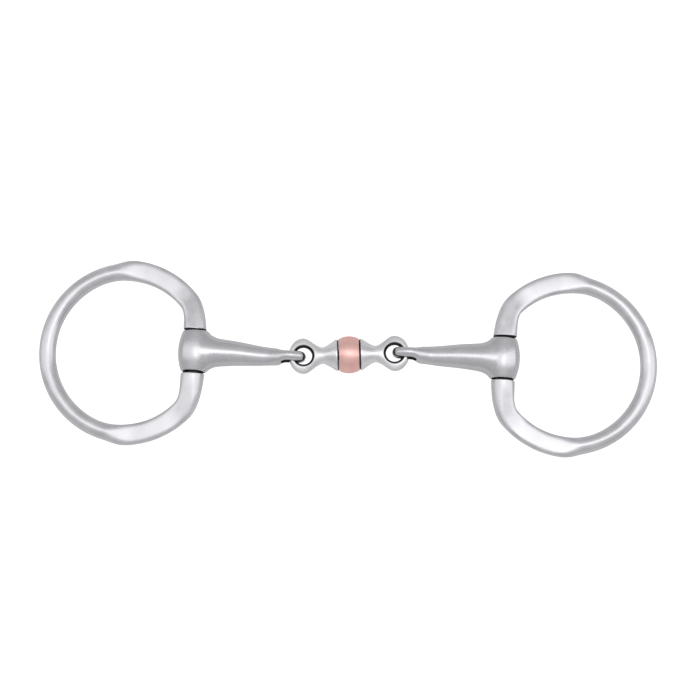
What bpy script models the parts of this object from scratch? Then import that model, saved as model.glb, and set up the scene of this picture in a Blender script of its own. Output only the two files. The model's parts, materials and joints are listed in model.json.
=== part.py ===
"""Eggbutt snaffle bit: two jointed mouth arms, a middle link with a copper roller, and a flat ring at each end.

The bit lies flat as it does on a table. +X runs along the mouthpiece, +Y along the cheek hinges, +Z up.
The origin is on the table, under the middle of the roller. Each side is the other turned half round +Z, apart
from how its ring was bent.
"""

import math

import bmesh
import bpy
from mathutils import Vector

MM = 0.001
FIT_GAP = 0.3 * MM  # kept between any two pieces that touch or fit
TURN_STEPS = 32  # sides of a turned piece
BARREL_STEPS = 28
LINK_STEPS = 24  # sides of the turned pieces in the middle link
OVERCUT = 2.0 * MM  # how far a cutter runs out past the face it cuts
SHARP_EDGE = math.radians(40)

# Driving dimensions: the mouth is measured between the two cheeks
MOUTH_WIDTH = 126.2 * MM

# Cheek ring: round wire on its outer half, flat towards the hinge, and a round stub at each end
RING_INNER = 33.2 * MM
RING_WIRE = 7.5 * MM
FLAT_INNER = 32.4 * MM
FLAT_OUTER = 41.6 * MM
FLAT_SHIFT = 2.5 * MM  # how much further out the flats have their middle
FLAT_HALF_THICKNESS = 2.75 * MM
FLAT_CORNER = 1.9 * MM
STUB_RADIUS = 5.7 * MM
SHOULDER_BLEND = 9.0 * MM  # rounding where the outer edge turns down to the stub
THROAT_BLEND = 2.6 * MM  # the same on the inner edge
NARROWS = (math.radians(50), math.radians(98))  # where the inner edge comes in, from the far side
BULGES = (math.radians(76), math.radians(91))  # where the outer edge steps out
FLATTENS = (math.radians(76), math.radians(98))
ROUNDS_AGAIN = (math.radians(122), math.radians(160))
TURN_STARTS = math.radians(115)
RING_STATIONS = 72
CORNER_POINTS = 4

# Hinge barrel of each arm, egg shaped along Y
BARREL_RADIUS = 7.55 * MM
BARREL_END_RADIUS = STUB_RADIUS
BARREL_HALF = 9.3 * MM
BARREL_LIP = 0.3 * MM
HINGE_GAP = 0.7 * MM
PIN_RADIUS = 2.6 * MM
PIN_PLAY = 0.45 * MM  # room round the pin in the barrel's bore
PIN_SOCKET = 4.4 * MM  # how far the pin goes into each stub
PIN_CHAMFER = 0.5 * MM
BORE_CHAMFER = 0.2 * MM

# Cannon of each arm, a cone from the barrel to the eye
CANNON_RADIUS = 6.15 * MM
CANNON_STARTS = 12.0 * MM  # from the hinge axis
NECK_RADIUS = 3.8 * MM
NECK_AT = 36.0 * MM  # from the hinge axis
FLARE = 3.9 * MM
FLARE_STARTS = 11.4 * MM
FLARE_ENDS = 5.0 * MM
ENDS_IN_BARREL = 3.0 * MM  # where the arm's body stops inside the barrel

# Eye at the inner end of each arm. Its hole runs along Y, and lengths are from the link bar that it hangs on
ARM_EYE_TIP = 6.4 * MM
ARM_EYE_INNER = 2.7 * MM
ARM_EYE_OUTER = 5.4 * MM
ARM_EYE_HALF_HOLE = 3.1 * MM
ARM_EYE_HALF_HEIGHT = 6.8 * MM
ARM_EYE_HALF_WIDTH = 2.35 * MM
ARM_EYE_EDGE = 1.1 * MM  # rounding of the hole's rim
ARM_TIP_BLUNT = 0.12  # how blunt the eye's very tip is, in radians of its rounding
ARM_WIDENS = (2.2 * MM, 6.4 * MM)  # where the eye widens to the cannon
ARM_SHOULDER = 12.0 * MM  # where the eye has thinned to the cannon

# Middle link: a round flange beside the roller, a waist, and an eye whose hole runs along Z
FLANGE_RADIUS = 6.85 * MM
FLANGE_LAND = 0.8 * MM
WAIST_RADIUS = 3.7 * MM
WAIST_AT = 11.6 * MM
FLANGE_HOLLOW = 1.3  # how hollow the cone from flange to waist is, 1 being straight
LINK_EYE_AT = 20.3 * MM
LINK_EYE_HALF_WIDTH = 8.05 * MM
LINK_EYE_HALF_THICKNESS = 2.15 * MM
LINK_EYE_HOLE = 3.85 * MM
LINK_EYE_EDGE = 1.0 * MM
LINK_HALF_LENGTH = 26.9 * MM
LINK_TIP_REACH = 0.97  # how much of the eye's end round is made before it is closed flat

# Copper roller and its spindle
ROLLER_RADIUS = 8.3 * MM
ROLLER_END_RADIUS = 7.1 * MM
ROLLER_HALF_WIDTH = 4.55 * MM
ROLLER_EDGE = 0.6 * MM
ROLLER_GAP = 0.55 * MM
SPINDLE_RADIUS = 2.25 * MM
SPINDLE_SOCKET = 4.2 * MM
SPINDLE_CHAMFER = 0.4 * MM

# Places that follow from those
HINGE_X = MOUTH_WIDTH / 2 + STUB_RADIUS
LINK_BAR_X = (LINK_EYE_AT + LINK_EYE_HOLE + LINK_HALF_LENGTH) / 2
ARM_REACH = HINGE_X - LINK_BAR_X
STUB_END = BARREL_HALF + HINGE_GAP
ARM_DIP = math.asin((ROLLER_RADIUS - BARREL_RADIUS) / ARM_REACH)
LINK_LAY = math.radians(3.15)  # how the link lies askew on the table, which turns the arms the other way
ARM_LAY = -math.asin(math.sin(LINK_LAY) * LINK_BAR_X / ARM_REACH)

# Each side's turn round +Z, how far the middle of its ring lies out from the hinge and along it, as the
# rings were bent by hand, and how far the ring is shifted within the hinge's play
SIDES = {
    "right": {"turn": 0.0, "ring_out": 28.6 * MM, "ring_along": -0.85 * MM, "shift": 0.0},
    "left": {"turn": math.pi, "ring_out": 29.25 * MM, "ring_along": 1.7 * MM, "shift": 0.25 * MM},
}

STEEL = ("satin_steel", (0.60, 0.60, 0.62), 0.32)
COPPER = ("copper", (0.80, 0.42, 0.34), 0.35)


def clear_scene():
    for old in list(bpy.data.objects):
        bpy.data.objects.remove(old, do_unlink=True)


def make_material(name, colour, roughness):
    material = bpy.data.materials.new(name)
    material.use_nodes = True
    shader = material.node_tree.nodes["Principled BSDF"]
    shader.inputs["Base Color"].default_value = (*colour, 1.0)
    shader.inputs["Roughness"].default_value = roughness
    shader.inputs["Metallic"].default_value = 1.0
    return material


def make_collection(name):
    collection = bpy.data.collections.new(name)
    bpy.context.scene.collection.children.link(collection)
    return collection


def ease(start, end, value):
    """0 before start, 1 after end, and a smooth rise between."""
    share = min(max((value - start) / (end - start), 0.0), 1.0)
    return share * share * (3.0 - 2.0 * share)


def mix(first, second, share):
    return first + (second - first) * share


def soft_minimum(first, second, blend):
    """The smaller of two lengths, with the corner between them rounded off."""
    overlap = max(blend - abs(first - second), 0.0) / blend
    return min(first, second) - overlap * overlap * blend / 4.0


def rounded_section(half_width, half_height, corner_across, corner_up):
    """Points round a rectangle with elliptical corners: an ellipse when the corners are as large as it is."""
    points = []
    for step in range(4 * CORNER_POINTS):
        angle = (step + 0.5) * math.pi / (2 * CORNER_POINTS)
        across = math.copysign(half_width - corner_across, math.cos(angle)) + corner_across * math.cos(angle)
        up = math.copysign(half_height - corner_up, math.sin(angle)) + corner_up * math.sin(angle)
        points.append((across, up))
    return points


def loft(name, sections):
    """A closed mesh through unlike sections, each a list of the same number of points."""
    body = bmesh.new()
    rows = [[body.verts.new(point) for point in section] for section in sections]
    for low, high in zip(rows, rows[1:]):
        for i, corner in enumerate(low):
            after = (i + 1) % len(low)
            body.faces.new((corner, low[after], high[after], high[i]))
    body.faces.new(rows[0])
    body.faces.new(rows[-1])
    bmesh.ops.recalc_face_normals(body, faces=body.faces)
    mesh = bpy.data.meshes.new(name)
    body.to_mesh(mesh)
    body.free()
    return mesh


def add_object(name, mesh, collection, parent=None, material=None):
    made = bpy.data.objects.new(name, mesh)
    collection.objects.link(made)
    made.parent = parent
    if material:
        mesh.materials.clear()
        mesh.materials.append(material)
    return made


def add_empty(name, collection, location=(0, 0, 0), rotation=(0, 0, 0), parent=None):
    empty = add_object(name, None, collection, parent)
    empty.location = location
    empty.rotation_euler = rotation
    return empty


def turned(name, profile, collection, steps=TURN_STEPS, closed=False):
    """A body turned about its own Z from a profile of (radius, height), which runs down its outer side."""
    count = len(profile)
    mesh = bpy.data.meshes.new(name)
    edges = [(i, (i + 1) % count) for i in range(count if closed else count - 1)]
    mesh.from_pydata([(radius, 0.0, height) for radius, height in profile], edges, [])
    body = add_object(name, mesh, collection)
    screw = body.modifiers.new("Turn", "SCREW")
    screw.steps = screw.render_steps = steps
    screw.use_merge_vertices = True
    screw.merge_threshold = 0.000001
    return body


def rod_profile(radius, half_length, chamfer):
    return [
        (0.0, half_length),
        (radius - chamfer, half_length),
        (radius, half_length - chamfer),
        (radius, chamfer - half_length),
        (radius - chamfer, -half_length),
        (0.0, -half_length),
    ]


def finished_mesh(name, base, tools=()):
    """The mesh of base, in world space, after joining or cutting it with each tool. The helpers are removed."""
    for operation, tool in tools:
        cut = base.modifiers.new(operation.title(), "BOOLEAN")
        cut.operation = operation
        cut.solver = "EXACT"
        cut.object = tool
        tool.hide_render = True
        tool.display_type = "WIRE"
    bpy.context.view_layer.update()
    graph = bpy.context.evaluated_depsgraph_get()
    mesh = bpy.data.meshes.new_from_object(base.evaluated_get(graph))
    mesh.transform(base.matrix_world)
    mesh.name = name
    for helper in (base, *(tool for _, tool in tools)):
        bpy.data.objects.remove(helper)
    mesh.shade_smooth()
    mesh.set_sharp_from_angle(angle=SHARP_EDGE)
    return mesh


# Cheek ring, with its hinge axis along Y through its own origin and its round half towards +X


def ring_edge(circle, flank, blend, angle):
    """Distance from the ring's middle to an edge: a circle that meets the straight side of the stub."""
    if math.cos(angle) >= 0.0:
        return circle
    return soft_minimum(circle, flank / -math.cos(angle), blend)


def ring_section(turn, out, along):
    """The section of the ring at a turn from -1, at the lower stub, over 0, at its far side, to 1.

    The middle of the ring is that far out from the hinge and along it.
    """
    side = math.copysign(1.0, turn)
    to_stub_end = STUB_END - side * along
    inner_end = math.pi - math.atan2(to_stub_end, out - STUB_RADIUS)
    outer_end = math.pi - math.atan2(to_stub_end, out + STUB_RADIUS)
    inner_angle = abs(turn) * inner_end
    lean = ease(TURN_STARTS, inner_end, inner_angle)
    outer_angle = inner_angle + lean * (outer_end - inner_end)

    flat, stub = ease(*FLATTENS, inner_angle), ease(*ROUNDS_AGAIN, inner_angle)
    flat_inner = FLAT_INNER + FLAT_SHIFT * math.cos(inner_angle)
    flat_outer = FLAT_OUTER + FLAT_SHIFT * math.cos(outer_angle)
    inner_circle = mix(RING_INNER, flat_inner, ease(*NARROWS, inner_angle))
    outer_circle = mix(RING_INNER + RING_WIRE, flat_outer, ease(*BULGES, inner_angle))
    inner = ring_edge(inner_circle, out - STUB_RADIUS, THROAT_BLEND, inner_angle)
    outer = ring_edge(outer_circle, out + STUB_RADIUS, SHOULDER_BLEND, outer_angle)

    near = Vector((out + inner * math.cos(inner_angle), along + side * inner * math.sin(inner_angle), 0.0))
    far = Vector((out + outer * math.cos(outer_angle), along + side * outer * math.sin(outer_angle), 0.0))
    half_width = (far - near).length / 2.0
    half_thickness = mix(mix(RING_WIRE / 2, FLAT_HALF_THICKNESS, flat), STUB_RADIUS, stub)
    corner = min(mix(mix(RING_WIRE / 2, FLAT_CORNER, flat), STUB_RADIUS, stub), half_width, half_thickness)
    middle, across = (near + far) / 2.0, (far - near).normalized()
    return [
        middle + across * wide + Vector((0.0, 0.0, up))
        for wide, up in rounded_section(half_width, half_thickness, corner, corner)
    ]


def cheek_ring_mesh(helpers, out, along):
    sections = [ring_section(2.0 * i / RING_STATIONS - 1.0, out, along) for i in range(RING_STATIONS + 1)]
    body = add_object("ring_body", loft("ring_body", sections), helpers)
    socket_profile = rod_profile(PIN_RADIUS + FIT_GAP, STUB_END + PIN_SOCKET + FIT_GAP, FIT_GAP)
    sockets = turned("ring_sockets", socket_profile, helpers)
    sockets.rotation_euler.x = math.pi / 2
    return finished_mesh("cheek_ring", body, [("DIFFERENCE", sockets)])


def hinge_pin_mesh(helpers):
    pin = turned("pin_body", rod_profile(PIN_RADIUS, STUB_END + PIN_SOCKET, PIN_CHAMFER), helpers)
    pin.rotation_euler.x = math.pi / 2
    return finished_mesh("hinge_pin", pin)


# Mouth arm, with its origin on the link bar that it hangs on and its barrel towards +X


def cannon_radius(x):
    share = (ARM_REACH - NECK_AT - x) / (CANNON_STARTS - NECK_AT)
    return mix(NECK_RADIUS, CANNON_RADIUS, share)


def arm_section(x):
    """The section of the arm at x: a flat eye, then a round cone, then a flare up and down to the barrel."""
    eye_middle = (ARM_EYE_OUTER - ARM_EYE_INNER) / 2
    to_tip = min(max((eye_middle - x) / (eye_middle + ARM_EYE_TIP), 0.0), 1.0)
    round_tip = min(max((ARM_EYE_HALF_WIDTH - ARM_EYE_TIP - x) / ARM_EYE_HALF_WIDTH, 0.0), 1.0)
    cannon = cannon_radius(x)

    thinned = ease(eye_middle, ARM_SHOULDER, x)
    widened = ease(*ARM_WIDENS, x)
    half_height = mix(ARM_EYE_HALF_HEIGHT * math.sqrt(1 - to_tip**2), cannon, thinned)
    half_width = mix(ARM_EYE_HALF_WIDTH * math.sqrt(1 - round_tip**2), cannon, widened)

    from_hinge = ARM_REACH - x
    flare = min(max((FLARE_STARTS - from_hinge) / (FLARE_STARTS - FLARE_ENDS), 0.0), 1.0)
    half_width += FLARE * (1 - math.sqrt(1 - flare**2))
    half_width = min(half_width, BARREL_HALF - BARREL_LIP)
    corner_up = mix(min(half_width, half_height), half_height, widened)
    return [
        Vector((x, across, up))
        for across, up in rounded_section(half_width, half_height, half_width, corner_up)
    ]


def arm_stations():
    """Places along the arm, close together at the eye's round tip and in the flare."""
    tip_steps, eye_steps, cone_steps, flare_steps = 5, 9, 5, 6
    tip_end = ARM_EYE_HALF_WIDTH - ARM_EYE_TIP
    stations = [
        tip_end - ARM_EYE_HALF_WIDTH * math.cos(mix(ARM_TIP_BLUNT, math.pi / 2, i / tip_steps))
        for i in range(tip_steps)
    ]
    flare_start = ARM_REACH - FLARE_STARTS
    stations += [mix(tip_end, ARM_SHOULDER, i / eye_steps) for i in range(eye_steps)]
    stations += [mix(ARM_SHOULDER, flare_start, i / cone_steps) for i in range(cone_steps)]
    stations += [mix(flare_start, ARM_REACH - FLARE_ENDS, i / flare_steps) for i in range(flare_steps + 1)]
    return stations + [ARM_REACH - ENDS_IN_BARREL]


def eye_hole_section(y):
    """The arm eye's hole at y: round at both ends, straight between, and wider towards its rim."""
    rim = max(abs(y) - (ARM_EYE_HALF_WIDTH - ARM_EYE_EDGE), 0.0) / ARM_EYE_EDGE
    wider = ARM_EYE_EDGE * (1 - math.sqrt(max(1 - rim**2, 0.0)))
    corner = ARM_EYE_HALF_HOLE + wider
    half_length = (ARM_EYE_OUTER + ARM_EYE_INNER) / 2 + wider
    middle = (ARM_EYE_OUTER - ARM_EYE_INNER) / 2
    outline = rounded_section(half_length, corner, corner, corner)
    return [Vector((middle + along, y, up)) for along, up in outline]


def barrel_profile():
    """Down the outside of the barrel: a shallow arc between its two flat ends."""
    steps = 10
    bow = BARREL_RADIUS - BARREL_END_RADIUS
    arc = (BARREL_HALF**2 + bow**2) / (2 * bow)
    side_half = BARREL_HALF - BARREL_LIP
    heights = [side_half * (1 - 2 * i / steps) for i in range(steps + 1)]
    side = [(BARREL_RADIUS - arc + math.sqrt(arc**2 - height**2), height) for height in heights]
    lip_radius = BARREL_END_RADIUS - BARREL_LIP
    top = [(0.0, BARREL_HALF), (lip_radius, BARREL_HALF)]
    return [*top, *side, (lip_radius, -BARREL_HALF), (0.0, -BARREL_HALF)]


def mouth_arm_mesh(helpers):
    body = add_object("arm_body", loft("arm_body", [arm_section(x) for x in arm_stations()]), helpers)
    barrel = turned("arm_barrel", barrel_profile(), helpers, steps=BARREL_STEPS)
    bore = turned("arm_bore", rod_profile(PIN_RADIUS + PIN_PLAY, BARREL_HALF + OVERCUT, BORE_CHAMFER), helpers)
    for tool in (barrel, bore):
        tool.location.x = ARM_REACH
        tool.rotation_euler.x = math.pi / 2
    bore.rotation_euler.y = math.pi / TURN_STEPS  # half a step, so that no two edges lie on one line
    depths = [-1.3, -1.0, -0.85, -0.6, 0.6, 0.85, 1.0, 1.3]  # in shares of the eye's half width
    hole_sections = [eye_hole_section(share * ARM_EYE_HALF_WIDTH) for share in depths]
    hole = add_object("arm_eye_hole", loft("arm_eye_hole", hole_sections), helpers)
    tools = [("UNION", barrel), ("DIFFERENCE", bore), ("DIFFERENCE", hole)]
    return finished_mesh("mouth_arm", body, tools)


# Half of the middle link, with its origin in the middle of the roller and its eye towards +X


def link_section(x):
    """The section of the link at x: a round flange, a waist, and a flat eye with a round end."""
    start = ROLLER_HALF_WIDTH + ROLLER_GAP
    before_waist = min(max((WAIST_AT - x) / (WAIST_AT - start - FLANGE_LAND), 0.0), 1.0)
    to_eye = ease(WAIST_AT, LINK_EYE_AT, x)
    to_tip = min(max((x - LINK_EYE_AT) / (LINK_HALF_LENGTH - LINK_EYE_AT), 0.0), 1.0)
    edge_at = LINK_HALF_LENGTH - LINK_EYE_HALF_THICKNESS
    round_edge = min(max((x - edge_at) / LINK_EYE_HALF_THICKNESS, 0.0), 1.0)
    stem = mix(WAIST_RADIUS, FLANGE_RADIUS, before_waist**FLANGE_HOLLOW)
    half_width = mix(stem, LINK_EYE_HALF_WIDTH * math.sqrt(1 - to_tip**2), to_eye)
    half_height = mix(stem, LINK_EYE_HALF_THICKNESS * math.sqrt(1 - round_edge**2), to_eye)
    corner = min(half_width, half_height)
    return [Vector((x, across, up)) for across, up in rounded_section(half_width, half_height, corner, corner)]


def link_stations():
    start = ROLLER_HALF_WIDTH + ROLLER_GAP
    cone_steps, eye_steps, end_steps = 5, 8, 8
    stations = [start]
    stations += [mix(start + FLANGE_LAND, WAIST_AT, i / cone_steps) for i in range(cone_steps)]
    stations += [mix(WAIST_AT, LINK_EYE_AT, i / eye_steps) for i in range(eye_steps)]
    reach = LINK_HALF_LENGTH - LINK_EYE_AT
    turns = [i / end_steps * LINK_TIP_REACH * math.pi / 2 for i in range(end_steps + 1)]
    return stations + [LINK_EYE_AT + reach * math.sin(turn) for turn in turns]


def eye_cutter_profile():
    """Down the side of the link eye's hole, from wide at the rim to narrow in the middle and back."""
    steps = 6
    half = LINK_EYE_HALF_THICKNESS
    heights = [half * (1 - 2 * i / steps) for i in range(steps + 1)]
    side = []
    for height in heights:
        rim = max(abs(height) - (half - LINK_EYE_EDGE), 0.0) / LINK_EYE_EDGE
        side.append((LINK_EYE_HOLE + LINK_EYE_EDGE * (1 - math.sqrt(max(1 - rim**2, 0.0))), height))
    over, wide = half + OVERCUT, LINK_EYE_HOLE + LINK_EYE_EDGE
    return [(0.0, over), (wide, over), *side, (wide, -over), (0.0, -over)]


def link_eye_mesh(helpers):
    body = add_object("link_body", loft("link_body", [link_section(x) for x in link_stations()]), helpers)
    hole = turned("link_eye_hole", eye_cutter_profile(), helpers, steps=LINK_STEPS)
    hole.location.x = LINK_EYE_AT
    reach = ROLLER_HALF_WIDTH + ROLLER_GAP + SPINDLE_SOCKET + FIT_GAP
    socket_profile = rod_profile(SPINDLE_RADIUS + FIT_GAP, reach, FIT_GAP)
    socket = turned("link_socket", socket_profile, helpers, steps=LINK_STEPS)
    socket.rotation_euler.y = math.pi / 2
    return finished_mesh("link_eye", body, [("DIFFERENCE", hole), ("DIFFERENCE", socket)])


def spindle_mesh(helpers):
    half_length = ROLLER_HALF_WIDTH + ROLLER_GAP + SPINDLE_SOCKET
    profile = rod_profile(SPINDLE_RADIUS, half_length, SPINDLE_CHAMFER)
    spindle = turned("spindle_body", profile, helpers, steps=LINK_STEPS)
    spindle.rotation_euler.y = math.pi / 2
    return finished_mesh("link_spindle", spindle)


def roller_mesh(helpers):
    """A barrel-shaped roller with rounded edges, bored for the spindle."""
    steps = 8
    bow = ROLLER_RADIUS - ROLLER_END_RADIUS
    arc = (ROLLER_HALF_WIDTH**2 + bow**2) / (2 * bow)
    side_half = ROLLER_HALF_WIDTH - ROLLER_EDGE
    heights = [side_half * (1 - 2 * i / steps) for i in range(steps + 1)]
    outside = [(ROLLER_RADIUS - arc + math.sqrt(arc**2 - height**2), height) for height in heights]
    bore, end = SPINDLE_RADIUS + FIT_GAP, ROLLER_HALF_WIDTH
    edge_radius = ROLLER_END_RADIUS - ROLLER_EDGE / 2
    profile = [(bore, end), (edge_radius, end), *outside, (edge_radius, -end), (bore, -end)]
    roller = turned("roller_body", profile, helpers, closed=True)
    roller.rotation_euler.y = math.pi / 2
    return finished_mesh("copper_roller", roller)


def build():
    clear_scene()
    bit = make_collection("eggbutt_snaffle_bit")
    helpers = make_collection("cutters")
    helpers.hide_render = True
    steel, copper = make_material(*STEEL), make_material(*COPPER)

    pin, arm, eye = hinge_pin_mesh(helpers), mouth_arm_mesh(helpers), link_eye_mesh(helpers)

    link = add_empty("link_frame", bit, (0, 0, ROLLER_RADIUS), (0, 0, LINK_LAY))
    add_object("link_spindle", spindle_mesh(helpers), bit, link, steel)
    add_object("copper_roller", roller_mesh(helpers), bit, link, copper)
    for side, lie in SIDES.items():
        half = add_empty(f"{side}_half", bit, rotation=(0, 0, lie["turn"]), parent=link)
        add_object(f"{side}_link_eye", eye, bit, half, steel)
        arm_turn = (0, ARM_DIP, ARM_LAY - LINK_LAY)
        arm_joint = add_empty(f"{side}_arm_joint", bit, (LINK_BAR_X, 0, 0), arm_turn, half)
        add_object(f"{side}_mouth_arm", arm, bit, arm_joint, steel)
        ring_dip = math.asin((BARREL_RADIUS - RING_WIRE / 2) / (lie["ring_out"] + RING_INNER + RING_WIRE / 2))
        hinge_turn = (0, ring_dip - ARM_DIP, 0)
        hinge = add_empty(f"{side}_hinge", bit, (ARM_REACH, lie["shift"], 0), hinge_turn, arm_joint)
        add_object(f"{side}_hinge_pin", pin, bit, hinge, steel)
        ring = cheek_ring_mesh(helpers, lie["ring_out"], lie["ring_along"])
        add_object(f"{side}_cheek_ring", ring, bit, hinge, steel)


build()
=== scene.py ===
import json
import math

import bmesh
import bpy
from mathutils import Matrix, Quaternion, Vector


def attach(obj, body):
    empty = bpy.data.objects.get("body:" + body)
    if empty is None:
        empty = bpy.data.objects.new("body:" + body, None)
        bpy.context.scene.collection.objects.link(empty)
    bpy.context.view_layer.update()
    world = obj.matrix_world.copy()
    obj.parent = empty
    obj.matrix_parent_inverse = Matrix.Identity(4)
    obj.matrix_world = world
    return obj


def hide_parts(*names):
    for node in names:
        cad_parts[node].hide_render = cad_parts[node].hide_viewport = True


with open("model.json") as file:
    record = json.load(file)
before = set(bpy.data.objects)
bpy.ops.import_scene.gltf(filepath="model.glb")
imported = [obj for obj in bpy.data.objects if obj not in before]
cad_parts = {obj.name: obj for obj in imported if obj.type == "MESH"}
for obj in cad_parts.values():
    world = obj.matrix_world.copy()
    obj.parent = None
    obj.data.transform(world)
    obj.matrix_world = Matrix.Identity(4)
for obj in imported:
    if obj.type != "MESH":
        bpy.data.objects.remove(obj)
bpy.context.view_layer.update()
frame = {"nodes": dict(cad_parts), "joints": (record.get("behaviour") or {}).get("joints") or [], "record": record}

mm = 0.001
overcut = 2 * mm  # how far a boring tool stands out of what it bores
boreTwist = 0.05  # in radians, so that a bore's facets don't lie along the piece's own edges
print("frame loaded:", ", ".join(sorted(frame["nodes"])))

joints = {joint["name"]: joint for joint in frame["joints"]}
mounts = {mount["name"]: mount for mount in frame["record"]["mounts"]}


def ease(start, end, value):  # 0 before start, 1 after end, smooth between
    share = min(max((value - start) / (end - start), 0.0), 1.0)
    return share * share * (3.0 - 2.0 * share)


def mix(first, second, share):
    return first + (second - first) * share


def softMinimum(first, second, blend):  # the smaller one, with a rounded corner where they cross
    overlap = max(blend - abs(first - second), 0.0) / blend
    return min(first, second) - overlap * overlap * blend / 4.0


def axesMatrix(origin, xAxis, yAxis):  # a place in the bit's frame, from where it is and two directions
    yAxis = Vector(yAxis).normalized()
    xAxis = Vector(xAxis)
    xAxis = (xAxis - yAxis * xAxis.dot(yAxis)).normalized()
    zAxis = xAxis.cross(yAxis)
    return Matrix.Translation(origin) @ Matrix((xAxis, yAxis, zAxis)).transposed().to_4x4()


def addSection(body, segments, halfWidth, halfHeight, squareness, place):
    # a circle pressed to a rounded oblong: squareness 2 is an ellipse, and more gives flatter sides
    made = bmesh.ops.create_circle(body, cap_ends=False, segments=segments, radius=1.0)["verts"]
    for vert in made:
        across, up = vert.co.x, vert.co.y
        vert.co.x = math.copysign(abs(across) ** (2.0 / squareness), across) * halfWidth
        vert.co.y = math.copysign(abs(up) ** (2.0 / squareness), up) * halfHeight
    bmesh.ops.transform(body, matrix=place, verts=made)
    return list({edge for vert in made for edge in vert.link_edges})


def bridgeSections(body, loops):  # skins the sections in order and closes both ends
    for low, high in zip(loops, loops[1:]):
        bmesh.ops.bridge_loops(body, edges=low + high)
    caps = [bmesh.ops.edgeloop_fill(body, edges=loop)["faces"] for loop in (loops[0], loops[-1])]
    bmesh.ops.recalc_face_normals(body, faces=body.faces)
    return caps


def spinProfile(body, profile, steps, closed=False):  # turns (radius, height) points round Z
    verts = [body.verts.new((radius, 0.0, height)) for radius, height in profile]
    edges = [body.edges.new(pair) for pair in zip(verts, verts[1:])]
    if closed:
        edges.append(body.edges.new((verts[-1], verts[0])))
    bmesh.ops.spin(body, geom=verts + edges, cent=(0, 0, 0), axis=(0, 0, 1), angle=2 * math.pi,
                   steps=steps, use_merge=True)
    bmesh.ops.remove_doubles(body, verts=body.verts, dist=0.001 * mm)
    bmesh.ops.recalc_face_normals(body, faces=body.faces)


def meshFrom(body, name, place=None):
    mesh = bpy.data.meshes.new(name)
    if place:
        bmesh.ops.transform(body, matrix=place, verts=body.verts)
    body.to_mesh(mesh)
    body.free()
    return mesh


def addObject(name, mesh):
    made = bpy.data.objects.new(name, mesh)
    bpy.context.scene.collection.objects.link(made)
    return made


def forgeSolid(name, base, joined=(), cut=(), voxel=0.2 * mm, smoothing=8, turned=(), drilled=()):
    # joins and cuts meshes, melts them into one skin, softens it, then adds and drills what has to stay crisp
    solid = addObject(name, base)
    helpers = []

    def addBoolean(operation, tool):
        helper = addObject(f"{name}_tool", tool)
        helpers.append(helper)
        step = solid.modifiers.new(operation, "BOOLEAN")
        step.operation = operation
        step.solver = "EXACT"
        step.object = helper

    for tool in joined:
        addBoolean("UNION", tool)
    for tool in cut:
        addBoolean("DIFFERENCE", tool)
    skin = solid.modifiers.new("skin", "REMESH")
    skin.mode = "VOXEL"
    skin.voxel_size = voxel
    skin.use_smooth_shade = True
    soften = solid.modifiers.new("soften", "SMOOTH")
    soften.factor = 0.5
    soften.iterations = smoothing
    for tool in turned:
        addBoolean("UNION", tool)
    for tool in drilled:
        addBoolean("DIFFERENCE", tool)
    bpy.context.view_layer.update()
    graph = bpy.context.evaluated_depsgraph_get()
    mesh = bpy.data.meshes.new_from_object(solid.evaluated_get(graph))
    for helper in (solid, *helpers):
        bpy.data.objects.remove(helper)
    mesh.name = name
    return mesh


def paintHollowShade(mesh, depthAt):  # 1 where the skin lies in a hollow or a joint, 0 in the open; the materials paint shade there by darkening the base colour
    attribute = mesh.attributes.new("hollow", "FLOAT", "POINT")
    attribute.data.foreach_set("value", [depthAt(vert.co) for vert in mesh.vertices])


def finishPiece(name, mesh, place, body, nodes, material, sharp=50):
    # puts a piece where it belongs with its place in its mesh, and ties it to the frame
    mesh.transform(place)
    mesh.shade_smooth()
    mesh.set_sharp_from_angle(angle=math.radians(sharp))
    mesh.materials.clear()
    mesh.materials.append(material)
    piece = addObject(name, mesh)
    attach(piece, body)
    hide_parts(*nodes)
    print(f"  {name}: {len(mesh.polygons)} faces")
    return piece


cloudBand, grainBand = (0.3, 0.7), (0.25, 0.75)  # the part of a noise's range that is spread out


def newMaterial(name):
    material = bpy.data.materials.new(name)
    material.use_nodes = True
    return material, material.node_tree, material.node_tree.nodes["Principled BSDF"]


def addNode(tree, kind, inputs=None, **settings):
    node = tree.nodes.new(kind)
    for key, value in settings.items():
        setattr(node, key, value)
    for key, value in (inputs or {}).items():
        if isinstance(value, bpy.types.NodeSocket):
            tree.links.new(value, node.inputs[key])
        else:
            node.inputs[key].default_value = value
    return node


def addMath(tree, operation, first, second=0.0, clamp=False):
    return addNode(tree, "ShaderNodeMath", {0: first, 1: second}, operation=operation,
                   use_clamp=clamp).outputs[0]


def addRange(tree, value, low, high, toLow, toHigh):
    return addNode(tree, "ShaderNodeMapRange", {"Value": value, "From Min": low, "From Max": high,
                                                "To Min": toLow, "To Max": toHigh}).outputs["Result"]


def addNoise(tree, vector, scale, detail=2.0, roughness=0.5):
    return addNode(tree, "ShaderNodeTexNoise", {"Vector": vector, "Scale": scale, "Detail": detail,
                                                "Roughness": roughness}).outputs["Fac"]


def placedCoordinates(tree, place):  # Object coordinates measured from a piece's own middle and axes
    inverse = place.inverted()
    return addNode(tree, "ShaderNodeMapping", {
        "Vector": addNode(tree, "ShaderNodeTexCoord").outputs["Object"],
        "Location": inverse.translation, "Rotation": inverse.to_euler()}).outputs["Vector"]


def grainAlong(tree, coordinates):  # fine lines along X, as a belt leaves them
    stretched = addNode(tree, "ShaderNodeMapping", {"Vector": coordinates, "Scale": (60, 2600, 2600)})
    return addNoise(tree, stretched.outputs["Vector"], 1.0, 3.0, 0.6)


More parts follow.
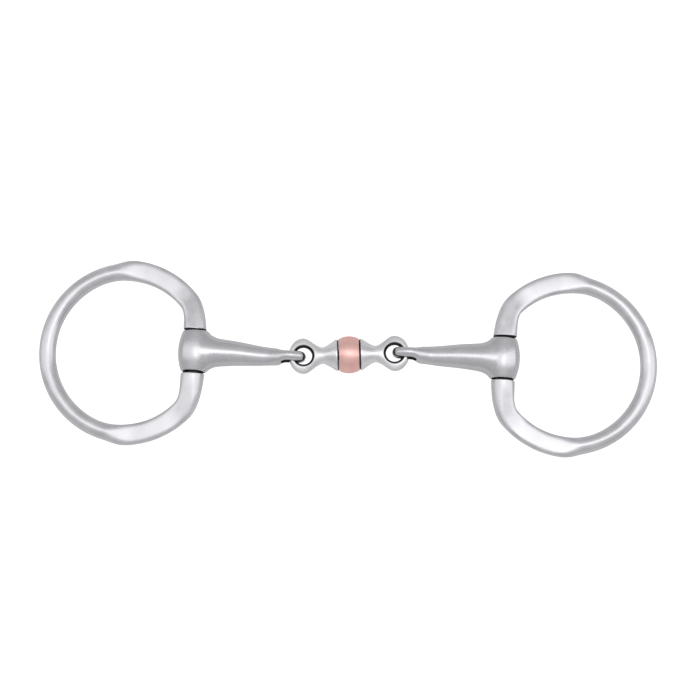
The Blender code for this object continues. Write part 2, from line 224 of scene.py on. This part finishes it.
def grainRound(tree, coordinates, axis):  # fine lines round one axis, as turning leaves them
    parts = addNode(tree, "ShaderNodeSeparateXYZ", {"Vector": coordinates}).outputs
    flat = addNode(tree, "ShaderNodeVectorMath", {0: coordinates, 1: [float(i != axis) for i in range(3)]},
                   operation="MULTIPLY").outputs[0]
    radius = addNode(tree, "ShaderNodeVectorMath", {0: flat}, operation="LENGTH").outputs["Value"]
    lines = addNode(tree, "ShaderNodeCombineXYZ", {"X": radius, "Y": parts[axis]}).outputs[0]
    drift = addNode(tree, "ShaderNodeVectorMath", {0: coordinates, 1: (0.03, 0.03, 0.03)},
                    operation="MULTIPLY").outputs[0]
    both = addNode(tree, "ShaderNodeVectorMath", {0: lines, 1: drift}, operation="ADD").outputs[0]
    return addNoise(tree, both, 2400.0, 3.0, 0.6)


steelFinish = {
    "ring": {"tone": (0.655, 0.65, 0.68), "gloss": (0.27, 0.38), "grainHeight": 0.0015, "waveHeight": 0.50,
             "waveScale": 80.0, "patches": (0.90, 1.07)},
    "mouth": {"tone": (0.605, 0.60, 0.63), "gloss": (0.22, 0.31), "grainHeight": 0.0015, "waveHeight": 0.08,
              "waveScale": 120.0, "patches": (0.95, 1.04)},
    "link": {"tone": (0.79, 0.785, 0.81), "gloss": (0.24, 0.32), "grainHeight": 0.0015, "waveHeight": 0.05,
             "waveScale": 150.0, "patches": (0.92, 1.05)},
    "pin": {"tone": (0.30, 0.30, 0.31), "gloss": (0.30, 0.42), "grainHeight": 0.010, "waveHeight": 0.0,
            "waveScale": 100.0, "patches": (0.95, 1.05)},
}
paintedShadeTone = 0.045  # painted shade: how much of the base colour a tight hollow keeps where the hollow mask darkens it


def steelMaterial(name, kind, place, grainAxis=None):
    look = steelFinish[kind]
    material, tree, shader = newMaterial(name)
    coordinates = placedCoordinates(tree, place)
    grain = grainAlong(tree, coordinates) if grainAxis is None else grainRound(tree, coordinates, grainAxis)
    cloud = addNoise(tree, coordinates, 140.0, 3.0, 0.55)
    specks = addNoise(tree, coordinates, 1500.0, 2.0, 0.5)
    hollow = addNode(tree, "ShaderNodeAttribute", attribute_name="hollow").outputs["Fac"]

    shade = addRange(tree, cloud, *cloudBand, *look["patches"])
    shade = addMath(tree, "MULTIPLY", shade, addRange(tree, grain, *grainBand, 0.95, 1.05))
    # painted shade: the base colour darkens towards the hollow tone where the hollow mask is 1
    shade = addMath(tree, "MULTIPLY", shade, addRange(tree, hollow, 0.0, 1.0, 1.0, paintedShadeTone))
    colour = addNode(tree, "ShaderNodeVectorMath", {0: look["tone"], "Scale": shade}, operation="SCALE")
    tree.links.new(colour.outputs[0], shader.inputs["Base Color"])

    gloss = addRange(tree, cloud, *cloudBand, *look["gloss"])
    gloss = addMath(tree, "ADD", gloss, addRange(tree, grain, *grainBand, -0.04, 0.04))
    gloss = addMath(tree, "ADD", gloss, addMath(tree, "MULTIPLY", hollow, 0.25), clamp=True)
    tree.links.new(gloss, shader.inputs["Roughness"])
    shader.inputs["Metallic"].default_value = 1.0

    wave = addNoise(tree, coordinates, look["waveScale"], 1.0, 0.4)
    height = addMath(tree, "MULTIPLY", wave, look["waveHeight"])
    height = addMath(tree, "ADD", height, addMath(tree, "MULTIPLY", grain, look["grainHeight"]))
    height = addMath(tree, "ADD", height, addMath(tree, "MULTIPLY", specks, look["grainHeight"] * 0.7))
    bump = addNode(tree, "ShaderNodeBump", {"Height": height, "Strength": 1.0, "Distance": 1.0 * mm})
    tree.links.new(bump.outputs[0], shader.inputs["Normal"])
    return material


# the copper's hollow tone is painted shade: how much of its base colour stays on its end faces, in the gaps beside
# the links
copperFinish = {"clean": (0.97, 0.60, 0.555), "dull": (0.90, 0.535, 0.495), "gloss": (0.34, 0.46),
                "grainHeight": 0.02, "paintedShadeTone": 0.15, "tarnishBand": (0.35, 0.7)}


def copperMaterial(name, place):
    material, tree, shader = newMaterial(name)
    coordinates = placedCoordinates(tree, place)
    grain = grainRound(tree, coordinates, 0)
    cloud = addNoise(tree, coordinates, 180.0, 4.0, 0.6)
    hollow = addNode(tree, "ShaderNodeAttribute", attribute_name="hollow").outputs["Fac"]
    tarnish = addNode(tree, "ShaderNodeMix", {
        "Factor": addRange(tree, cloud, *copperFinish["tarnishBand"], 0.0, 1.0),
        "A": (*copperFinish["clean"], 1), "B": (*copperFinish["dull"], 1)}, data_type="RGBA")
    shade = addRange(tree, grain, *grainBand, 0.95, 1.04)
    # painted shade: the base colour darkens where the hollow mask is 1
    darkened = addRange(tree, hollow, 0.0, 1.0, 1.0, copperFinish["paintedShadeTone"])
    shade = addMath(tree, "MULTIPLY", shade, darkened)
    colour = addNode(tree, "ShaderNodeVectorMath", {0: tarnish.outputs["Result"], "Scale": shade},
                     operation="SCALE")
    tree.links.new(colour.outputs[0], shader.inputs["Base Color"])
    gloss = addRange(tree, cloud, *cloudBand, *copperFinish["gloss"])
    tree.links.new(gloss, shader.inputs["Roughness"])
    shader.inputs["Metallic"].default_value = 1.0
    height = addMath(tree, "MULTIPLY", grain, copperFinish["grainHeight"])
    bump = addNode(tree, "ShaderNodeBump", {"Height": height, "Strength": 1.0, "Distance": 1.0 * mm})
    tree.links.new(bump.outputs[0], shader.inputs["Normal"])
    return material


cheekRing = {  # X goes out from the hinge, Y along it
    "roundInner": 33.2 * mm, "wire": 7.5 * mm,
    "flatInner": 32.4 * mm, "flatOuter": 41.6 * mm, "flatShift": 2.5 * mm,
    "flatHalfThickness": 2.75 * mm, "flatSquareness": 5.0,
    "stubRadius": 5.7 * mm, "stubSquareness": 2.2, "stubEnd": 10.0 * mm,
    "shoulderBlend": 9.0 * mm, "throatBlend": 2.6 * mm,
    "narrows": (50, 98), "bulges": (76, 91), "flattens": (76, 98), "roundsAgain": (122, 160), "turns": 115,
    "endRounding": 0.35 * mm, "collarInset": 0.35 * mm, "collarWall": 0.02 * mm, "collarHeight": 0.42 * mm,
    "endFades": (0.01 * mm, 0.12 * mm),
    "stations": 240, "segments": 64,
}
# how far each ring's middle is out from its hinge, and along it
ringMiddles = {"right": (28.6 * mm, -0.85 * mm), "left": (29.25 * mm, 1.7 * mm)}


def ringEdge(circle, flank, blend, angle):  # the straight side of the stub cuts the circle off
    if math.cos(angle) >= 0.0:
        return circle
    return softMinimum(circle, flank / -math.cos(angle), blend)


def addRingSection(body, turn, out, along):  # turn is -1 at one stub, 0 at the far side, 1 at the other stub
    ring = cheekRing
    stub, side = ring["stubRadius"], math.copysign(1.0, turn)
    toStubEnd = ring["stubEnd"] - side * along
    innerEnd = math.pi - math.atan2(toStubEnd, out - stub)
    outerEnd = math.pi - math.atan2(toStubEnd, out + stub)
    innerAngle = abs(turn) * innerEnd
    degrees = math.degrees(innerAngle)
    outerAngle = innerAngle + ease(ring["turns"], math.degrees(innerEnd), degrees) * (outerEnd - innerEnd)

    flat = ease(*ring["flattens"], degrees)
    roundAgain = ease(*ring["roundsAgain"], degrees)
    flatInner = ring["flatInner"] + ring["flatShift"] * math.cos(innerAngle)
    flatOuter = ring["flatOuter"] + ring["flatShift"] * math.cos(outerAngle)
    innerCircle = mix(ring["roundInner"], flatInner, ease(*ring["narrows"], degrees))
    outerCircle = mix(ring["roundInner"] + ring["wire"], flatOuter, ease(*ring["bulges"], degrees))
    inner = ringEdge(innerCircle, out - stub, ring["throatBlend"], innerAngle)
    outer = ringEdge(outerCircle, out + stub, ring["shoulderBlend"], outerAngle)
    near = Vector((out + inner * math.cos(innerAngle), along + side * inner * math.sin(innerAngle), 0))
    far = Vector((out + outer * math.cos(outerAngle), along + side * outer * math.sin(outerAngle), 0))
    halfThickness = mix(mix(ring["wire"] / 2, ring["flatHalfThickness"], flat), stub, roundAgain)
    squareness = mix(mix(2.0, ring["flatSquareness"], flat), ring["stubSquareness"], roundAgain)
    across, up = (far - near).normalized(), Vector((0, 0, 1))
    turned = Matrix((across, up, across.cross(up))).transposed().to_4x4()
    place = Matrix.Translation((near + far) / 2) @ turned
    return addSection(body, ring["segments"], (far - near).length / 2, halfThickness, squareness, place)


def ringMesh(name, out, along):
    ring = cheekRing
    body = bmesh.new()
    turns = [2.0 * i / ring["stations"] - 1.0 for i in range(ring["stations"] + 1)]
    loops = [addRingSection(body, turn, out, along) for turn in turns]
    caps = bridgeSections(body, loops)
    capMiddles = [faces[0].calc_center_median() for faces in caps]
    rims = loops[0] + loops[-1]
    bmesh.ops.bevel(body, geom=rims, offset=ring["endRounding"], segments=3, profile=0.5, affect="EDGES",
                    material=-1, clamp_overlap=True)
    # a collar round the pin, painted dark as the shade in the gap, which hides the gap; at one end of the left
    # ring it goes 0.3 mm into the barrel
    for cap in caps:
        end = [face for face in body.faces if len(face.verts) == ring["segments"]
               and (face.calc_center_median() - capMiddles[caps.index(cap)]).length < ring["stubRadius"] / 2]
        bmesh.ops.inset_region(body, faces=end, thickness=ring["collarInset"], use_even_offset=True)
        bmesh.ops.inset_region(body, faces=end, thickness=ring["collarWall"], depth=ring["collarHeight"])
    bmesh.ops.recalc_face_normals(body, faces=body.faces)
    mesh = meshFrom(body, name)

    def paintedShadeAt(co):  # painted shade on the collars and the inner ends of the stubs
        if co.x >= ring["stubRadius"]:
            return 0.0
        fadeFrom, fadeTo = (ring["stubEnd"] + fade for fade in ring["endFades"])
        return 1.0 - ease(fadeFrom, fadeTo, abs(co.y))

    paintHollowShade(mesh, paintedShadeAt)
    return mesh


mouthArm = {  # X goes from the link bar to the hinge, Y along the hinge
    "barrelRadius": 7.55 * mm, "barrelEndRadius": 5.7 * mm, "barrelHalf": 9.3 * mm, "lip": 0.3 * mm,
    "bore": 3.05 * mm,
    "cannonRadius": 6.15 * mm, "cannonFrom": 12.0 * mm, "neckRadius": 3.8 * mm, "neckAt": 36.0 * mm,
    "flare": 3.9 * mm, "flareFrom": 11.4 * mm, "flareTo": 5.0 * mm,
    "eyeTip": 6.4 * mm, "eyeInner": 2.7 * mm, "eyeOuter": 5.4 * mm, "eyeHalfHole": 3.1 * mm,
    "eyeHalfHeight": 6.8 * mm, "eyeHalfWidth": 2.35 * mm, "eyeEdge": 1.1 * mm, "shoulder": 12.0 * mm,
    "widens": (2.2 * mm, 6.4 * mm), "lean": 0.55 * mm,  # lean is how far the neck bends off the eye's middle
    "endsInBarrel": 3 * mm, "boreMouth": 0.25 * mm, "tipBlunt": 0.06,
    "holeRim": 0.8 * mm, "holeFades": (1.08, 1.3), "eyeFades": (2.4 * mm, 3.4 * mm),
    "boreFades": (0.1 * mm, 0.4 * mm), "endFades": (0.12 * mm, 0.02 * mm),
    "segments": 72, "voxel": 0.22 * mm, "smoothing": 70,
}


def addArmSection(body, x, reach, lean):
    arm = mouthArm
    eyeMiddle = (arm["eyeOuter"] - arm["eyeInner"]) / 2
    toTip = min(max((eyeMiddle - x) / (eyeMiddle + arm["eyeTip"]), 0.0), 1.0)
    roundTip = min(max((arm["eyeHalfWidth"] - arm["eyeTip"] - x) / arm["eyeHalfWidth"], 0.0), 1.0)
    slope = (arm["cannonRadius"] - arm["neckRadius"]) / (arm["neckAt"] - arm["cannonFrom"])
    cannon = arm["neckRadius"] + (arm["neckAt"] - (reach - x)) * slope
    thinned = ease(eyeMiddle, arm["shoulder"], x)
    widened = ease(*arm["widens"], x)
    halfHeight = mix(arm["eyeHalfHeight"] * math.sqrt(1 - toTip**2), cannon, thinned)
    halfWidth = mix(arm["eyeHalfWidth"] * math.sqrt(1 - roundTip**2), cannon, widened)
    flare = min(max((arm["flareFrom"] - (reach - x)) / (arm["flareFrom"] - arm["flareTo"]), 0.0), 1.0)
    halfWidth += arm["flare"] * (1 - math.sqrt(1 - flare**2))
    halfWidth = min(halfWidth, arm["barrelHalf"] - arm["lip"])
    squareness = mix(3.2, 2.0, ease(0.0, arm["shoulder"], x))
    sway = lean * widened * (1 - ease(arm["shoulder"], 2.2 * arm["shoulder"], x))
    place = Matrix.Translation((x, sway, 0)) @ Matrix(((0, 0, 1), (1, 0, 0), (0, 1, 0))).to_4x4()
    return addSection(body, arm["segments"], halfWidth, halfHeight, squareness, place)


def armMesh(name, reach, lean):
    arm = mouthArm
    tipEnd = arm["eyeHalfWidth"] - arm["eyeTip"]
    flareStart = reach - arm["flareFrom"]
    stations = [tipEnd - arm["eyeHalfWidth"] * math.cos(mix(arm["tipBlunt"], math.pi / 2, i / 10))
                for i in range(10)]
    stations += [mix(tipEnd, arm["shoulder"], i / 30) for i in range(30)]
    stations += [mix(arm["shoulder"], flareStart, i / 20) for i in range(20)]
    stations += [mix(flareStart, reach - arm["flareTo"], i / 24) for i in range(25)]
    stations.append(reach - arm["endsInBarrel"])
    body = bmesh.new()
    bridgeSections(body, [addArmSection(body, x, reach, lean) for x in stations])
    cannon = meshFrom(body, name)

    atHinge = Matrix.Translation((reach, 0, 0)) @ Matrix.Rotation(math.pi / 2, 4, "X")
    bow = arm["barrelRadius"] - arm["barrelEndRadius"]
    arc = (arm["barrelHalf"] ** 2 + bow**2) / (2 * bow)
    heights = [mix(1, -1, i / 28) * (arm["barrelHalf"] - arm["lip"]) for i in range(29)]
    side = [(arm["barrelRadius"] - arc + math.sqrt(arc**2 - height**2), height) for height in heights]
    lip = arm["barrelEndRadius"] - arm["lip"]
    body = bmesh.new()
    spinProfile(body, [(0, arm["barrelHalf"]), (lip, arm["barrelHalf"]), *side,
                       (lip, -arm["barrelHalf"]), (0, -arm["barrelHalf"])], 72)
    barrel = meshFrom(body, "barrel", atHinge)

    body = bmesh.new()  # the bore, a little wider at each mouth
    over, mouth = arm["barrelHalf"] + overcut, arm["boreMouth"]
    bore, wide, end = arm["bore"], arm["bore"] + mouth, arm["barrelHalf"]
    spinProfile(body, [(0, over), (wide, over), (wide, end), (bore, end - mouth),
                       (bore, mouth - end), (wide, -end), (wide, -over), (0, -over)], 48)
    bore = meshFrom(body, "bore", atHinge @ Matrix.Rotation(boreTwist, 4, "Z"))

    body = bmesh.new()  # the eye's hole: a slot with round ends that opens out at its rims
    middle = (arm["eyeOuter"] - arm["eyeInner"]) / 2
    loops = []
    for i in range(41):
        y = mix(-1.25, 1.25, i / 40) * arm["eyeHalfWidth"]
        rim = min(max(abs(y) - (arm["eyeHalfWidth"] - arm["eyeEdge"]), 0.0) / arm["eyeEdge"], 1.0)
        wider = arm["eyeEdge"] * (1 - math.sqrt(1 - rim**2))
        place = Matrix.Translation((middle, y, 0)) @ Matrix.Rotation(-math.pi / 2, 4, "X")
        halfLength = (arm["eyeOuter"] + arm["eyeInner"]) / 2 + wider
        loops.append(addSection(body, 48, halfLength, arm["eyeHalfHole"] + wider, 2.3, place))
    bridgeSections(body, loops)
    hole = meshFrom(body, "eyeHole")

    mesh = forgeSolid(name, cannon, joined=[barrel], cut=[hole], drilled=[bore], voxel=arm["voxel"],
                      smoothing=arm["smoothing"])

    # painted shade in the eye's hole, at the barrel's ends and in the bore
    def paintedShadeAt(co):
        inHole = math.hypot((co.x - middle) / ((arm["eyeOuter"] + arm["eyeInner"]) / 2 + arm["holeRim"]),
                            co.z / (arm["eyeHalfHole"] + arm["holeRim"]))
        eye = (1 - ease(*arm["holeFades"], inHole)) * (1 - ease(*arm["eyeFades"], abs(co.y)))
        fadeFrom, fadeTo = (arm["barrelHalf"] - fade for fade in arm["endFades"])
        barrelEnd = ease(fadeFrom, fadeTo, abs(co.y))
        fadeFrom, fadeTo = (arm["bore"] + fade for fade in arm["boreFades"])
        inBore = 1 - ease(fadeFrom, fadeTo, math.hypot(co.x - reach, co.z))
        return max(eye, barrelEnd, inBore)

    paintHollowShade(mesh, paintedShadeAt)
    return mesh


linkHalf = {  # X goes from the roller's middle to the eye, Y across the eye
    "start": 5.1 * mm, "collar": 6.7 * mm, "collarAt": 4.65 * mm,
    "flangeRadius": 7.0 * mm, "flangeLand": 0.8 * mm,
    "waistRadius": 3.7 * mm, "waistAt": 11.6 * mm, "hollow": 1.3,
    "eyeAt": 20.3 * mm, "eyeHalfWidth": 8.05 * mm, "eyeOvercut": 1 * mm,
    "eyeHalfThickness": 2.15 * mm, "eyeHole": 3.85 * mm, "eyeEdge": 1.0 * mm, "halfLength": 26.9 * mm,
    "socket": 2.55 * mm, "socketDepth": 4.5 * mm, "tipBlunt": 0.985, "holeFades": (0.8, 1.3),
    "faceFades": (0.05 * mm, 0.2 * mm), "segments": 72, "voxel": 0.16 * mm, "smoothing": 16,
}


def addLinkSection(body, x):
    link = linkHalf
    beforeWaist = (link["waistAt"] - x) / (link["waistAt"] - link["start"] - link["flangeLand"])
    beforeWaist = min(max(beforeWaist, 0.0), 1.0)
    toEye = ease(link["waistAt"], link["eyeAt"], x)
    toTip = min(max((x - link["eyeAt"]) / (link["halfLength"] - link["eyeAt"]), 0.0), 1.0)
    edgeAt = link["halfLength"] - link["eyeHalfThickness"]
    roundEdge = min(max((x - edgeAt) / link["eyeHalfThickness"], 0.0), 1.0)
    stem = mix(link["waistRadius"], link["flangeRadius"], beforeWaist ** link["hollow"])
    halfWidth = mix(stem, link["eyeHalfWidth"] * math.sqrt(1 - toTip**2), toEye)
    halfHeight = mix(stem, link["eyeHalfThickness"] * math.sqrt(1 - roundEdge**2), toEye)
    place = Matrix.Translation((x, 0, 0)) @ Matrix(((0, 0, 1), (1, 0, 0), (0, 1, 0))).to_4x4()
    return addSection(body, link["segments"], halfWidth, halfHeight, mix(2.0, 2.6, toEye), place)


def linkMesh(name):
    link = linkHalf
    start, reach = link["start"], link["halfLength"] - link["eyeAt"]
    stations = [start] + [mix(start + link["flangeLand"], link["waistAt"], i / 16) for i in range(16)]
    stations += [mix(link["waistAt"], link["eyeAt"], i / 24) for i in range(24)]
    stations += [link["eyeAt"] + reach * math.sin(i / 24 * link["tipBlunt"] * math.pi / 2) for i in range(25)]
    body = bmesh.new()
    bridgeSections(body, [addLinkSection(body, x) for x in stations])
    stem = meshFrom(body, name)

    body = bmesh.new()
    half, edge, hole = link["eyeHalfThickness"], link["eyeEdge"], link["eyeHole"]
    profile = []
    for i in range(25):
        height = mix(half, -half, i / 24)
        rim = min(max(abs(height) - (half - edge), 0.0) / edge, 1.0)
        profile.append((hole + edge * (1 - math.sqrt(1 - rim**2)), height))
    over = half + link["eyeOvercut"]
    spinProfile(body, [(0, over), (hole + edge, over), *profile, (hole + edge, -over), (0, -over)], 64)
    eyeHole = meshFrom(body, "linkEyeHole", Matrix.Translation((link["eyeAt"], 0, 0)))

    body = bmesh.new()
    deep = start + link["socketDepth"]
    spinProfile(body, [(0, deep), (link["socket"], deep), (link["socket"], -deep), (0, -deep)], 48)
    alongX = Matrix.Rotation(math.pi / 2, 4, "Y")
    socket = meshFrom(body, "spindleSocket", alongX @ Matrix.Rotation(boreTwist, 4, "Z"))

    body = bmesh.new()  # the collar that hides the gap beside the roller, painted dark as the shade in that gap
    inside = start + link["flangeLand"] / 2
    spinProfile(body, [(0, inside), (link["collar"], inside), (link["collar"], link["collarAt"]),
                       (0, link["collarAt"])], 96)
    collar = meshFrom(body, "collar", alongX)
    mesh = forgeSolid(name, stem, cut=[eyeHole], turned=[collar], drilled=[socket], voxel=link["voxel"],
                      smoothing=link["smoothing"])

    # painted shade in the eye's hole, and on the collar and the face beside the roller
    def paintedShadeAt(co):
        fromEye = math.hypot(co.x - link["eyeAt"], co.y)
        fadeFrom, fadeTo = (hole + fade * edge for fade in link["holeFades"])
        eye = 1 - ease(fadeFrom, fadeTo, fromEye)
        fadeFrom, fadeTo = (start + fade for fade in link["faceFades"])
        return max(eye, 1 - ease(fadeFrom, fadeTo, co.x))

    paintHollowShade(mesh, paintedShadeAt)
    return mesh


copperRoller = {  # turned round X
    "radius": 8.3 * mm, "endRadius": 7.1 * mm, "halfWidth": 4.55 * mm, "rounding": 0.30 * mm,
    "bore": 2.55 * mm, "steps": 128, "faceInset": 0.03 * mm, "fade": 0.1 * mm,
}


def rollerMesh(name):
    roller = copperRoller
    bow = roller["radius"] - roller["endRadius"]
    arc = (roller["halfWidth"] ** 2 + bow**2) / (2 * bow)
    heights = [mix(1, -1, i / 24) * roller["halfWidth"] for i in range(25)]
    side = [(roller["radius"] - arc + math.sqrt(arc**2 - height**2), height) for height in heights]
    body = bmesh.new()
    spinProfile(body, [(roller["bore"], roller["halfWidth"]), *side, (roller["bore"], -roller["halfWidth"])],
                roller["steps"], closed=True)
    rims = [edge for edge in body.edges if len(edge.link_faces) == 2 and edge.calc_face_angle() > 0.9]
    bmesh.ops.bevel(body, geom=rims, offset=roller["rounding"], segments=5, profile=0.5, affect="EDGES",
                    material=-1)
    bmesh.ops.recalc_face_normals(body, faces=body.faces)
    mesh = meshFrom(body, name, Matrix.Rotation(math.pi / 2, 4, "Y"))
    faceAt = roller["halfWidth"] - roller["faceInset"]
    # painted shade on the end faces, in the gaps beside the links
    paintHollowShade(mesh, lambda co: ease(faceAt - roller["fade"], faceAt, abs(co.x)))
    return mesh


spin = joints["roller_spin"]
rollerPlace = axesMatrix(spin["pos_m"], spin["axis"], Vector((0, 0, 1)).cross(Vector(spin["axis"])))
finishPiece("roller_copper_turned", rollerMesh("roller"), rollerPlace, "roller", ["copper_roller"],
            copperMaterial("satinCopper", rollerPlace))

for side in ("left", "right"):
    fold, swing = joints[f"{side}_arm_fold"], joints[f"{side}_ring_swing"]
    bar, hinge = Vector(fold["pos_m"]), Vector(swing["pos_m"])
    mirror = 1 if side == "right" else -1
    foldAxis, hingeAxis = mirror * Vector(fold["axis"]), -mirror * Vector(swing["axis"])

    armPlace = axesMatrix(bar, hinge - bar, foldAxis)
    reach = (armPlace.inverted() @ hinge).x
    finishPiece(f"{side}_arm_forged", armMesh(f"{side}Arm", reach, -mirror * mouthArm["lean"]), armPlace,
                f"{side}_arm", [f"{side}_mouth_arm"],
                steelMaterial(f"{side}ArmSteel", "mouth", armPlace))

    faceUp = Vector(mounts[f"{side}_ring_flat_front"]["axis"])
    ringPlace = axesMatrix(hinge, hingeAxis.cross(faceUp), hingeAxis)
    ringMiddle = ringPlace @ Matrix.Translation((*ringMiddles[side], 0))
    finishPiece(f"{side}_ring_forged", ringMesh(f"{side}Ring", *ringMiddles[side]), ringPlace,
                f"{side}_ring", [f"{side}_cheek_ring"],
                steelMaterial(f"{side}RingSteel", "ring", ringMiddle, 2))

    outward = mirror * Vector(spin["axis"])
    linkPlace = axesMatrix(spin["pos_m"], outward, Vector((0, 0, 1)).cross(outward))
    finishPiece(f"{side}_link_forged", linkMesh(f"{side}Link"), linkPlace, "link", [f"{side}_link_eye"],
                steelMaterial(f"{side}LinkSteel", "link", linkPlace))

    pin = frame["nodes"][f"{side}_hinge_pin"]
    pin.data.materials.clear()
    pin.data.materials.append(steelMaterial(f"{side}PinSteel", "pin", ringPlace, 1))

spindle = frame["nodes"]["link_spindle"]
spindle.data.materials.clear()
spindle.data.materials.append(steelMaterial("spindleSteel", "pin", rollerPlace, 0))
print("pieces done")


studio = {
    "distance": 1.15, "elevation": 81.5, "roll": 1.35, "across": 312.3 * mm, "sensor": 36.0,
    "aim": (0.38 * mm, 2.3 * mm, 7.5 * mm),
    "floorTone": 0.35, "floorGlow": (0.38, 0.95),  # the glow is for the metal and for the eye
    "sky": ((0.0, 0.56), (0.50, 0.60), (0.80, 0.68), (0.94, 0.77), (1.0, 0.80)),  # height and brightness
}
softboxes = {  # middle, size along and across, and how bright its face is
    "overhead": {"at": (0.0, 0.115, 0.75), "size": (0.6, 0.34), "bright": 0.25},
    "leftSide": {"at": (-0.50, 0.06, 0.64), "size": (0.40, 2.0), "bright": 0.55},
    "rightSide": {"at": (0.62, 0.06, 0.52), "size": (0.40, 2.0), "bright": 0.78},
}
bpy.context.scene.view_settings.view_transform = "Standard"

body = bmesh.new()
bmesh.ops.create_grid(body, x_segments=1, y_segments=1, size=3.0)
floor = addObject("floor", meshFrom(body, "floor"))
floorMaterial, floorTree, floorShader = newMaterial("palePaper")
floorShader.inputs["Base Color"].default_value = (studio["floorTone"],) * 3 + (1,)
floorShader.inputs["Roughness"].default_value = 0.9
floorShader.inputs["Emission Color"].default_value = (1, 1, 1, 1)
seen = addNode(floorTree, "ShaderNodeLightPath").outputs["Is Camera Ray"]
glow = addRange(floorTree, seen, 0.0, 1.0, *studio["floorGlow"])
floorTree.links.new(glow, floorShader.inputs["Emission Strength"])
floor.data.materials.append(floorMaterial)

world = bpy.data.worlds.new("lightTent")
bpy.context.scene.world = world
world.use_nodes = True
tree = world.node_tree
height = addNode(tree, "ShaderNodeSeparateXYZ", {
    "Vector": addNode(tree, "ShaderNodeTexCoord").outputs["Generated"]}).outputs["Z"]
sky = addNode(tree, "ShaderNodeValToRGB", {"Fac": height})
sky.color_ramp.interpolation = "EASE"
for place, bright in studio["sky"][1:-1]:
    sky.color_ramp.elements.new(place)
for element, (place, bright) in zip(sky.color_ramp.elements, studio["sky"]):
    element.position, element.color = place, (bright, bright, bright, 1)
tree.links.new(sky.outputs["Color"], tree.nodes["Background"].inputs["Strength"])
tree.nodes["Background"].inputs["Color"].default_value = (1, 1, 1, 1)

for name, box in softboxes.items():
    light = bpy.data.lights.new(name, "AREA")
    light.shape = "RECTANGLE"
    light.size, light.size_y = box["size"]
    light.energy = box["bright"] * math.pi * light.size * light.size_y
    lamp = addObject(name, light)
    lamp.location = box["at"]
    lamp.rotation_euler = (-Vector(box["at"])).to_track_quat("-Z", "Y").to_euler()

camera = addObject("camera", bpy.data.cameras.new("camera"))
lift = math.radians(studio["elevation"])
aim = Vector(studio["aim"])
camera.location = aim + studio["distance"] * Vector((0, -math.cos(lift), math.sin(lift)))
look = (aim - camera.location).to_track_quat("-Z", "Y")
camera.rotation_mode = "QUATERNION"
camera.rotation_quaternion = look @ Quaternion((0, 0, 1), math.radians(studio["roll"]))
camera.data.sensor_width = studio["sensor"]
camera.data.lens = studio["sensor"] * studio["distance"] / studio["across"]
bpy.context.scene.camera = camera
print("studio done")
